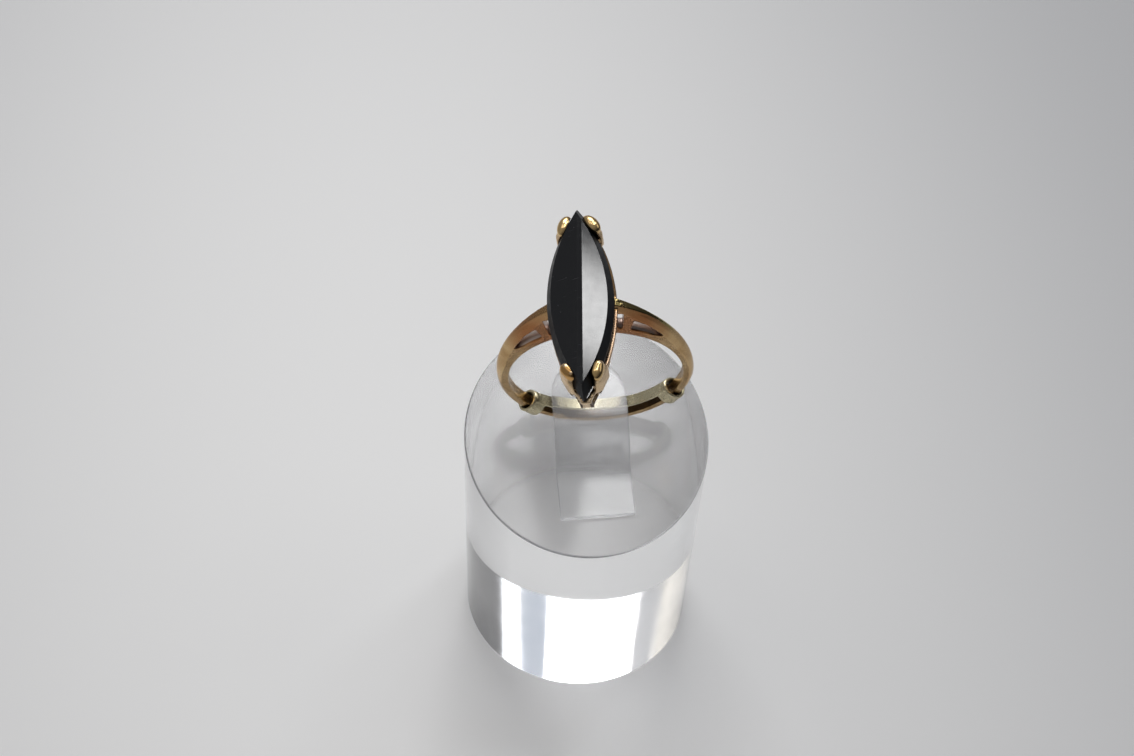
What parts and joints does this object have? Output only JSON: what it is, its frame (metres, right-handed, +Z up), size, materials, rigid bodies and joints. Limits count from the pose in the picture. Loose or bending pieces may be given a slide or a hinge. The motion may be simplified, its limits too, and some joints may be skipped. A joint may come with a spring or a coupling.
{
  "type": "onyx ring on a clear display stand",
  "caption": "Gold dress ring with a long pointed black onyx, pierced shoulders and a ring guard, held upright by a clear strip on a clear slanted display block.",
  "frame": {"origin": "centre of the flat round base of the clear block, which stands on the surface", "axes": "+Z up along the block's axis, +X to the right seen from the front, +Y to the back, where the slanted face is higher; the finger hole runs roughly along Y"},
  "size_m": [0.025, 0.025, 0.0545],
  "materials": {
    "gold": "worn polished yellow gold",
    "onyx": "polished black onyx, lightly scratched",
    "pale_gold": "polished pale yellow gold",
    "clear_block": "clear polished acrylic",
    "clear_strip": "clear thin acrylic"
  },
  "bodies": {
    "root": {"ring_mount": "gold", "onyx": "onyx", "ring_guard": "pale_gold", "stand_block": "clear_block", "clip_tongue": "clear_strip"}
  },
  "joints": []
}
